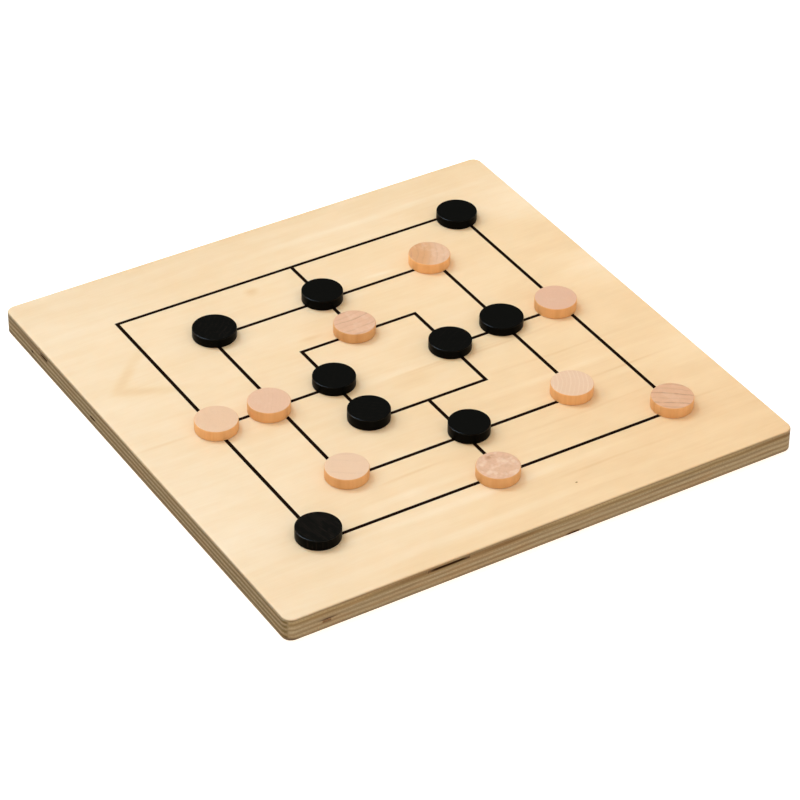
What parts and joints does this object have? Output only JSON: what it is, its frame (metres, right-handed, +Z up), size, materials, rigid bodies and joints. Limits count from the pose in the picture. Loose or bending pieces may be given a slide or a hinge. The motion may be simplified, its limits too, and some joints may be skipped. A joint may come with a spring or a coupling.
{
  "type": "nine men's morris board",
  "caption": "Flat square plywood game board printed with three nested squares, with loose black and natural wooden counters standing on the points of the pattern.",
  "frame": {"origin": "centre of the underside of the board, on the surface that it rests on", "axes": "+Z up through the thickness; +X along the grain of the face; +Y across it, away from the front edge"},
  "size_m": [0.2796, 0.2816, 0.0187],
  "materials": {
    "face_veneer": "pale birch face veneer, sanded, clear matt finish",
    "core_veneer": "sawn and sanded edges of cross-laid core veneers",
    "printing_ink": "flat black ink soaked into the face veneer",
    "black_stained_wood": "black stain under a satin lacquer",
    "natural_wood": "bare hardwood cut across the grain, end grain on top"
  },
  "bodies": {
    "board": {"face_veneer": "face_veneer", "printed_lines": "printing_ink", "core_veneer_1": "core_veneer", "core_veneer_2": "core_veneer", "core_veneer_3": "core_veneer", "core_veneer_4": "core_veneer", "core_veneer_5": "core_veneer", "core_veneer_6": "core_veneer", "core_veneer_7": "core_veneer", "back_veneer": "face_veneer"},
    "black_counter_1": {"black_counter_1": "black_stained_wood"},
    "black_counter_2": {"black_counter_2": "black_stained_wood"},
    "black_counter_3": {"black_counter_3": "black_stained_wood"},
    "black_counter_4": {"black_counter_4": "black_stained_wood"},
    "black_counter_5": {"black_counter_5": "black_stained_wood"},
    "black_counter_6": {"black_counter_6": "black_stained_wood"},
    "black_counter_7": {"black_counter_7": "black_stained_wood"},
    "black_counter_8": {"black_counter_8": "black_stained_wood"},
    "black_counter_9": {"black_counter_9": "black_stained_wood"},
    "natural_counter_1": {"natural_counter_1": "natural_wood"},
    "natural_counter_2": {"natural_counter_2": "natural_wood"},
    "natural_counter_3": {"natural_counter_3": "natural_wood"},
    "natural_counter_4": {"natural_counter_4": "natural_wood"},
    "natural_counter_5": {"natural_counter_5": "natural_wood"},
    "natural_counter_6": {"natural_counter_6": "natural_wood"},
    "natural_counter_7": {"natural_counter_7": "natural_wood"},
    "natural_counter_8": {"natural_counter_8": "natural_wood"},
    "natural_counter_9": {"natural_counter_9": "natural_wood"}
  },
  "joints": [
    {"name": "black_counter_1_lift", "type": "slide", "parent": "board", "child": "black_counter_1", "axis": [0, 0, 1], "range_m": [0, 0.05]},
    {"name": "black_counter_2_lift", "type": "slide", "parent": "board", "child": "black_counter_2", "axis": [0, 0, 1], "range_m": [0, 0.05]},
    {"name": "black_counter_3_lift", "type": "slide", "parent": "board", "child": "black_counter_3", "axis": [0, 0, 1], "range_m": [0, 0.05]},
    {"name": "black_counter_4_lift", "type": "slide", "parent": "board", "child": "black_counter_4", "axis": [0, 0, 1], "range_m": [0, 0.05]},
    {"name": "black_counter_5_lift", "type": "slide", "parent": "board", "child": "black_counter_5", "axis": [0, 0, 1], "range_m": [0, 0.05]},
    {"name": "black_counter_6_lift", "type": "slide", "parent": "board", "child": "black_counter_6", "axis": [0, 0, 1], "range_m": [0, 0.05]},
    {"name": "black_counter_7_lift", "type": "slide", "parent": "board", "child": "black_counter_7", "axis": [0, 0, 1], "range_m": [0, 0.05]},
    {"name": "black_counter_8_lift", "type": "slide", "parent": "board", "child": "black_counter_8", "axis": [0, 0, 1], "range_m": [0, 0.05]},
    {"name": "black_counter_9_lift", "type": "slide", "parent": "board", "child": "black_counter_9", "axis": [0, 0, 1], "range_m": [0, 0.05]},
    {"name": "natural_counter_1_lift", "type": "slide", "parent": "board", "child": "natural_counter_1", "axis": [0, 0, 1], "range_m": [0, 0.05]},
    {"name": "natural_counter_2_lift", "type": "slide", "parent": "board", "child": "natural_counter_2", "axis": [0, 0, 1], "range_m": [0, 0.05]},
    {"name": "natural_counter_3_lift", "type": "slide", "parent": "board", "child": "natural_counter_3", "axis": [0, 0, 1], "range_m": [0, 0.05]},
    {"name": "natural_counter_4_lift", "type": "slide", "parent": "board", "child": "natural_counter_4", "axis": [0, 0, 1], "range_m": [0, 0.05]},
    {"name": "natural_counter_5_lift", "type": "slide", "parent": "board", "child": "natural_counter_5", "axis": [0, 0, 1], "range_m": [0, 0.05]},
    {"name": "natural_counter_6_lift", "type": "slide", "parent": "board", "child": "natural_counter_6", "axis": [0, 0, 1], "range_m": [0, 0.05]},
    {"name": "natural_counter_7_lift", "type": "slide", "parent": "board", "child": "natural_counter_7", "axis": [0, 0, 1], "range_m": [0, 0.05]},
    {"name": "natural_counter_8_lift", "type": "slide", "parent": "board", "child": "natural_counter_8", "axis": [0, 0, 1], "range_m": [0, 0.05]},
    {"name": "natural_counter_9_lift", "type": "slide", "parent": "board", "child": "natural_counter_9", "axis": [0, 0, 1], "range_m": [0, 0.05]}
  ]
}
